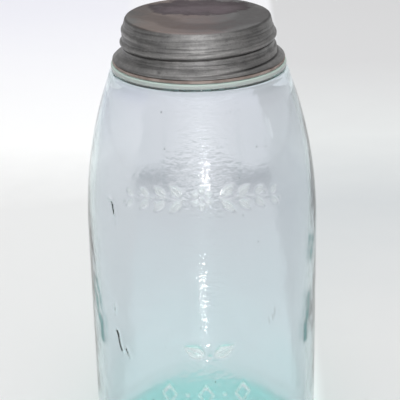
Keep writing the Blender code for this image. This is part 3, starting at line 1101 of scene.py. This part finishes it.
def sheet_outline():
    """The outside of the cap's sheet, from the middle of the top to the edge of the skirt."""
    points = [(0.0, CAP_TOP)]
    points += arc((CAP_TOP_RADIUS - CAP_ROUNDING, CAP_TOP - CAP_ROUNDING), CAP_ROUNDING, 90, 0, 12)
    low = CAP_EDGE + SKIRT_LIP
    for height in np.linspace(CAP_STEP_FOOT, low, 90):
        drop = np.clip((low + FLARE_HEIGHT - height) / FLARE_HEIGHT, 0, 1)
        flare = (SKIRT_RADIUS - CAP_WALL_RADIUS) * (drop + FLARE_SWELL * sin(pi * drop))
        narrowing = TOP_NARROWING * smooth((height - NARROWING_FOOT) / NARROWING_RISE)
        lines = 0
        for middle, width, stand in TURNED_LINES:
            lines += stand * float(ridge(abs(height - middle), 2 * width))
        points.append((CAP_WALL_RADIUS - narrowing + flare + lines, height))
    points.append((SKIRT_RADIUS, CAP_EDGE))
    return points


outer = spaced(sheet_outline(), lambda radius, height: 0.26 if radius > 32 else 1.0)
inner = outer - SHEET * outward(outer)
inner[0] = (0.0, CAP_TOP - SHEET)
inner[-1] = (SKIRT_RADIUS - SHEET, CAP_EDGE)
inner[-1, 1] += EDGE_LIFT
outer[-1, 1] += EDGE_LIFT
edge = [(SKIRT_RADIUS - SHEET / 2, CAP_EDGE)]
sheet = np.concatenate([outer, edge, inner[::-1]])
drawn = [((radius - SWEEP_RADIUS) * MM, -height * MM, 0.0) for radius, height in sheet]
sheet_draft = bpy.data.meshes.new("sheet")
sheet_draft.from_pydata(drawn, [(point, point + 1) for point in range(len(drawn) - 1)], [])
print("outline of the sheet:", len(sheet), "points")

# %% [markdown]
# The rib's cross section is a curve over the height above its crest, counted in turns: 0 is
# one crest and 1 the next. On that curve 0.3 is the plain wall, and what dips below it is a
# crease: a faint one above each rib, and a sharp deep one below it, where the wheel bit. Near
# the step and the skirt the whole rib fades, crease and all, by how high its crest lies there.
# The tree keeps the curve's value for each point, because hands have worn the crest bright,
# and the crease gets painted shade from it.

# %% Sweep the sheet and roll the thread
CAP_RIDGE = 1.1
RIDGE_FADE = 3.0
WALL_LEVEL = 0.3
RIB_SECTION = (
    (0.0, 1.0),
    (0.07, 0.93),
    (0.13, 0.64),
    (0.175, 0.28),
    (0.2, 0.2),
    (0.24, 0.34),
    (0.33, 0.35),
    (0.46, 0.3),
    (0.59, 0.3),
    (0.62, 0.04),
    (0.68, 0.03),
    (0.72, 0.36),
    (0.8, 0.74),
    (0.9, 0.95),
    (1.0, 1.0),
)

# Deep knocks in the cap: place in mm, how wide and how deep
KNOCKS = (
    ((-18.6, -33.6, 213.6), 1.7, 0.5),
    ((6.3, -36.8, 219.3), 1.3, 0.35),
    ((3.0, -38.6, 213.2), 1.2, 0.3),
    ((17.0, -32.4, 217.5), 1.6, 0.3),
    ((-25.0, -26.5, 226.0), 2.2, 0.3),
)

tree, given, result = new_tree(
    "rolled zinc cap",
    {
        "Columns": "Int",
        "Sweep Radius": "Float",
        "Thread Low": "Float",
        "Thread Pitch": "Float",
        "Thread Phase": "Float",
        "Ridge Height": "Float",
        "Ridge Top": "Float",
        "Ridge Foot": "Float",
        "Dents per Metre": "Float",
        "Dent Depth": "Float",
        "Zinc": "Material",
    },
)
line = add_node(tree, "GeometryNodeMeshToCurve", {"Mesh": given["Geometry"]})
round_path = add_node(
    tree, "GeometryNodeCurvePrimitiveCircle",
    {"Resolution": given["Columns"], "Radius": given["Sweep Radius"]},
)
swept = add_node(tree, "GeometryNodeCurveToMesh", {"Curve": round_path, "Profile Curve": line})
merged = add_node(tree, "GeometryNodeMergeByDistance", {"Geometry": swept, "Distance": 0.004 * MM})

# How far each point is from the crest of the helix, in turns
position = add_node(tree, "GeometryNodeInputPosition")
axes = add_node(tree, "SeparateXYZ", {0: position})
climb = add_node(tree, "Math", {0: axes.outputs["Z"], 1: given["Thread Low"]}, operation="SUBTRACT")
climbed = add_node(tree, "Math", {0: climb, 1: given["Thread Pitch"]}, operation="DIVIDE")
angle = add_node(tree, "Math", {0: axes.outputs["Y"], 1: axes.outputs["X"]}, operation="ARCTAN2")
around = add_node(
    tree, "Math", {0: angle, 1: 1 / tau, 2: given["Thread Phase"]}, operation="MULTIPLY_ADD"
)
above = add_node(tree, "Math", {0: climbed, 1: around}, operation="SUBTRACT")
within = add_node(tree, "Math", {0: above}, operation="FRACT")
section = add_node(tree, "FloatCurve", {"Value": within})
curve = section.mapping.curves[0]
curve.points[0].location = RIB_SECTION[0]
curve.points[1].location = RIB_SECTION[-1]
for turns, level in RIB_SECTION[1:-1]:
    curve.points.new(turns, level)
section.mapping.update()

# The rib fades out where its crest comes near the top or the foot of the wall
signed = add_node(tree, "Math", {0: above, 1: 0.5, 2: -0.5}, operation="WRAP")
off_crest = add_node(tree, "Math", {0: signed, 1: given["Thread Pitch"]}, operation="MULTIPLY")
crest = add_node(tree, "Math", {0: axes.outputs["Z"], 1: off_crest}, operation="SUBTRACT")
off_top = add_node(tree, "Math", {0: given["Ridge Top"], 1: crest}, operation="SUBTRACT")
off_foot = add_node(tree, "Math", {0: crest, 1: given["Ridge Foot"]}, operation="SUBTRACT")
nearest = add_node(tree, "Math", {0: off_top, 1: off_foot}, operation="MINIMUM")
fade = add_node(
    tree, "MapRange", {"Value": nearest, "From Max": RIDGE_FADE * MM}, interpolation_type="SMOOTHSTEP"
)
rolled = add_node(tree, "Mix", {"Factor": fade, 2: WALL_LEVEL, 3: section}, data_type="FLOAT")
kept = add_node(
    tree, "GeometryNodeStoreNamedAttribute",
    {"Geometry": merged, "Value": rolled, "Name": "rolled"},
    data_type="FLOAT", domain="POINT",
)
push = add_node(
    tree, "MapRange",
    {"Value": rolled, "From Min": WALL_LEVEL, "From Max": 1.0, "To Max": given["Ridge Height"]},
    clamp=False,
)

# Knocks press the sheet in where they fall
depth = push
for middle, width, deep in KNOCKS:
    away = add_node(
        tree, "VectorMath", {0: position, 1: tuple(MM * side for side in middle)}, operation="DISTANCE"
    )
    hollow = add_node(
        tree, "MapRange",
        {"Value": away, "From Max": width * MM, "To Min": -deep * MM, "To Max": 0.0},
        interpolation_type="SMOOTHERSTEP",
    )
    depth = add_node(tree, "Math", {0: depth, 1: hollow}, operation="ADD")
flat = add_node(tree, "VectorMath", {0: position, 1: (1.0, 1.0, 0.0)}, operation="MULTIPLY")
outwards = add_node(tree, "VectorMath", {0: flat}, operation="NORMALIZE")
relief = add_node(tree, "VectorMath", {0: outwards, "Scale": depth}, operation="SCALE")

# Soft dents move the whole sheet a little, never upwards on balance
dents = add_node(tree, "TexNoise", {"Vector": position, "Scale": given["Dents per Metre"], "Detail": 1.5})
centred = add_node(
    tree, "VectorMath", {0: dents.outputs["Color"], 1: (0.5, 0.5, 0.72)}, operation="SUBTRACT"
)
dented = add_node(tree, "VectorMath", {0: centred, "Scale": given["Dent Depth"]}, operation="SCALE")
moved = add_node(tree, "VectorMath", {0: relief, 1: dented}, operation="ADD")
shaped = add_node(tree, "GeometryNodeSetPosition", {"Geometry": kept, "Offset": moved})
real = add_node(tree, "GeometryNodeRealizeInstances", {"Geometry": shaped})
finished = add_node(tree, "GeometryNodeSetMaterial", {"Geometry": real, "Material": given["Zinc"]})
tree.links.new(finished.outputs["Geometry"], result.inputs["Geometry"])
cap_tree = tree
print("nodes in the cap's tree:", len(tree.nodes))

# %% [markdown]
# Zinc that has been handled and washed for decades is a dull dark grey, with bright worn
# crests, pits, and fine lines left by the turning. Its creases and the fine lines are darkened
# with painted shade. It still reflects light as a metal does, in a soft shine that the turned
# lines stretch across them.
# The flat top has a darker patina in brown and mauve patches with an uneven ring in it.

# %% Weathered zinc
WORN_ZINC = linear("a3a1a0")
CREASE_SHADE = linear("3a3837")
MAUVE = linear("5c5156")
MAUVE_BORDER = linear("3f3539")
ZINC_STAINS_MM = 7.0
ZINC_SPECKS_MM = 0.9
SPECK_DEPTH_MM = 0.02
TURNING_MM = 1.0
TURNING_DEPTH_MM = 0.08
PATINA_STARTS = 231.0
PATINA_FULL = 231.7

# The mauve stain: its middle, how far it reaches to each side, and how far its border wanders
STAIN_MIDDLE = (1.0, 13.0, 232.0)
STAIN_REACH = (25.0, 15.0)
STAIN_WANDER_MM = 22.0
STAIN_RINGS_MM = 95.0

zinc, tree = new_material("weathered zinc")
place = add_node(tree, "TexCoord").outputs["Object"]
axes = add_node(tree, "SeparateXYZ", {0: place})
stains = add_node(
    tree, "TexNoise",
    {"Vector": place, "Scale": 1 / (ZINC_STAINS_MM * MM), "Detail": 6.0, "Roughness": 0.62},
)
tarnish = add_node(tree, "ValToRGB", {"Fac": stains})
set_stops(tarnish, ((0.32, "838282"), (0.5, "8e8d8c"), (0.68, "9a9897")))

# Worn crests of the rib, and painted shade in its creases
rolled = add_node(tree, "Attribute", attribute_name="rolled").outputs["Fac"]
worn = add_node(
    tree, "MapRange", {"Value": rolled, "From Min": 0.7, "From Max": 1.0, "To Min": 0.0, "To Max": 0.4}
)
rubbed = add_node(tree, "Mix", {"Factor": worn, 6: tarnish, 7: WORN_ZINC}, data_type="RGBA")
# Painted shade darkens the creases of the rib
crease_shade_mask = add_node(
    tree, "MapRange", {"Value": rolled, "From Min": 0.24, "From Max": 0.08, "To Min": 0.0, "To Max": 0.85}
)
crease_shaded = add_node(tree, "Mix", {"Factor": crease_shade_mask, 6: rubbed, 7: CREASE_SHADE}, data_type="RGBA")

# Fine level lines that the turning left, darkened with painted shade, and small dark pits
flattened = add_node(tree, "Mapping", {"Vector": place, "Scale": (0.05, 0.05, 1.0)})
turning = add_node(tree, "TexNoise", {"Vector": flattened, "Scale": 1 / (TURNING_MM * MM), "Detail": 3.0})
lines = add_node(tree, "ValToRGB", {"Fac": turning})
set_stops(lines, ((0.36, "d2d2d2"), (0.5, "f4f4f4"), (0.66, "ffffff")))
scored = add_node(
    tree, "Mix", {"Factor": 1.0, 6: crease_shaded, 7: lines}, data_type="RGBA", blend_type="MULTIPLY"
)
specks = add_node(
    tree, "TexNoise",
    {"Vector": place, "Scale": 1 / (ZINC_SPECKS_MM * MM), "Detail": 2.0, "Roughness": 0.6},
)
speckle = add_node(tree, "ValToRGB", {"Fac": specks})
set_stops(speckle, ((0.28, "d4d4d4"), (0.4, "f0f0f0"), (0.62, "f6f6f6"), (0.72, "ffffff")))
pitted = add_node(
    tree, "Mix", {"Factor": 1.0, 6: scored, 7: speckle}, data_type="RGBA", blend_type="MULTIPLY"
)

# Patina of the flat top: grey at the sides, brown on the left and in front
across = add_node(
    tree, "MapRange",
    {"Value": axes.outputs["X"], "From Min": -CAP_WALL_RADIUS * MM, "From Max": CAP_WALL_RADIUS * MM},
)
warped = add_node(tree, "Math", {0: stains, 1: 0.5, 2: across}, operation="MULTIPLY_ADD")
patina = add_node(tree, "ValToRGB", {"Fac": warped})
set_stops(
    patina,
    ((0.28, "6c6b6a"), (0.45, "776c67"), (0.7, "766b69"), (0.88, "6c6666"), (1.0, "686767")),
)

# A mauve stain behind the middle of the top, with a darker uneven border, where a wet jar stood
bent = add_node(
    tree, "VectorMath", {0: stains.outputs["Color"], 1: (0.5, 0.5, 0.5)}, operation="SUBTRACT"
)
bent = add_node(tree, "VectorMath", {0: bent, "Scale": STAIN_WANDER_MM * MM}, operation="SCALE")
bent = add_node(tree, "VectorMath", {0: place, 1: bent}, operation="ADD")
middle = tuple(MM * side for side in STAIN_MIDDLE)
per_reach = (1 / (STAIN_REACH[0] * MM), 1 / (STAIN_REACH[1] * MM), 0.0)
off_stain = add_node(tree, "VectorMath", {0: bent, 1: middle}, operation="SUBTRACT")
off_stain = add_node(tree, "VectorMath", {0: off_stain, 1: per_reach}, operation="MULTIPLY")
off_stain = add_node(tree, "VectorMath", {0: off_stain}, operation="LENGTH")
stain = add_node(tree, "MapRange", {"Value": off_stain, "From Min": 1.08, "From Max": 0.92})
border = add_node(tree, "MapRange", {"Value": off_stain, "From Min": 0.6, "From Max": 1.0})
mauve = add_node(tree, "Mix", {"Factor": border, 6: MAUVE, 7: MAUVE_BORDER}, data_type="RGBA")
stained = add_node(tree, "Mix", {"Factor": stain, 6: patina, 7: mauve}, data_type="RGBA")
rings = add_node(
    tree, "TexWave",
    {
        "Vector": place, "Scale": 1 / (STAIN_RINGS_MM * MM), "Distortion": 7.0, "Detail": 3.0,
        "Detail Scale": 1.6, "Phase Offset": 1.2,
    },
    wave_type="RINGS", rings_direction="Z",
)
ringed = add_node(tree, "ValToRGB", {"Fac": rings.outputs["Fac"]})
set_stops(ringed, ((0.1, "d2d0d0"), (0.45, "f6f6f6")))
aged = add_node(
    tree, "Mix", {"Factor": 1.0, 6: stained, 7: ringed}, data_type="RGBA", blend_type="MULTIPLY"
)
on_top = add_node(
    tree, "MapRange",
    {"Value": axes.outputs["Z"], "From Min": PATINA_STARTS * MM, "From Max": PATINA_FULL * MM},
)
metal_colour = add_node(tree, "Mix", {"Factor": on_top, 6: pitted, 7: aged}, data_type="RGBA")
roughness = add_node(
    tree, "MapRange", {"Value": stains, "From Min": 0.3, "From Max": 0.7, "To Min": 0.5, "To Max": 0.38}
)
turned_bump = add_node(
    tree, "Bump", {"Height": turning, "Strength": 1.0, "Distance": TURNING_DEPTH_MM * MM}
)
bump = add_node(
    tree, "Bump",
    {"Height": specks, "Normal": turned_bump, "Strength": 1.0, "Distance": SPECK_DEPTH_MM * MM},
)
around = add_node(tree, "Tangent", direction_type="RADIAL", axis="Z")
along = add_node(tree, "Mix", {"Factor": on_top, 4: around, 5: (1.0, 0.0, 0.0)}, data_type="VECTOR")
metal = add_node(
    tree, "BsdfPrincipled",
    {
        "Base Color": metal_colour, "Roughness": roughness, "Normal": bump, "Tangent": along,
        "Metallic": 1.0, "Anisotropic": 0.6, "Anisotropic Rotation": 0.25,
    },
)
add_node(tree, "OutputMaterial", {"Surface": metal})
print("zinc:", len(tree.nodes), "nodes")

# %% Make the cap
CAP_COLUMNS = 300
RIDGE_BELOW_STEP = 0.7
RIDGE_ABOVE_EDGE = 2.0
DENTS_MM = 14.0
DENT_DEPTH = 0.4

wanted = {
    "Columns": CAP_COLUMNS,
    "Sweep Radius": SWEEP_RADIUS * MM,
    "Thread Low": THREAD_LOW * MM,
    "Thread Pitch": THREAD_PITCH * MM,
    "Thread Phase": THREAD_PHASE,
    "Ridge Height": CAP_RIDGE * MM,
    "Ridge Top": (CAP_STEP_FOOT - RIDGE_BELOW_STEP) * MM,
    "Ridge Foot": (CAP_EDGE + RIDGE_ABOVE_EDGE) * MM,
    "Dents per Metre": 1 / (DENTS_MM * MM),
    "Dent Depth": DENT_DEPTH * MM,
    "Zinc": zinc,
}
cap_mesh = made_by(cap_tree, sheet_draft, wanted)
shell = bmesh.new()
shell.from_mesh(cap_mesh)
if shell.calc_volume(signed=True) < 0:
    bmesh.ops.reverse_faces(shell, faces=shell.faces)
open_edges = sum(not item.is_manifold for item in shell.edges)
shell.to_mesh(cap_mesh)
shell.free()
cap_mesh.shade_smooth()
cap = add_piece("zinc_screw_cap", cap_mesh, zinc)
print("open edges of the cap:", open_edges)

# %% [markdown]
# ## The pieces and their bodies
# Each piece rides on the body that carries it when the cap is unscrewed, and stands for one CAD
# solid, which is hidden.

# %% Ride and replace
for piece, body, node, slot in (
    (glass, "jar", "glass_jar", "aqua_glass"),
    (ring, "jar", "rubber_ring", "aged_rubber"),
    (liner, "liner", "opal_liner", "opal_glass"),
    (cap, "cap", "zinc_cap", "weathered_zinc"),
):
    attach(piece, body)
    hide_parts(node)

scene.view_settings.view_transform = "Standard"
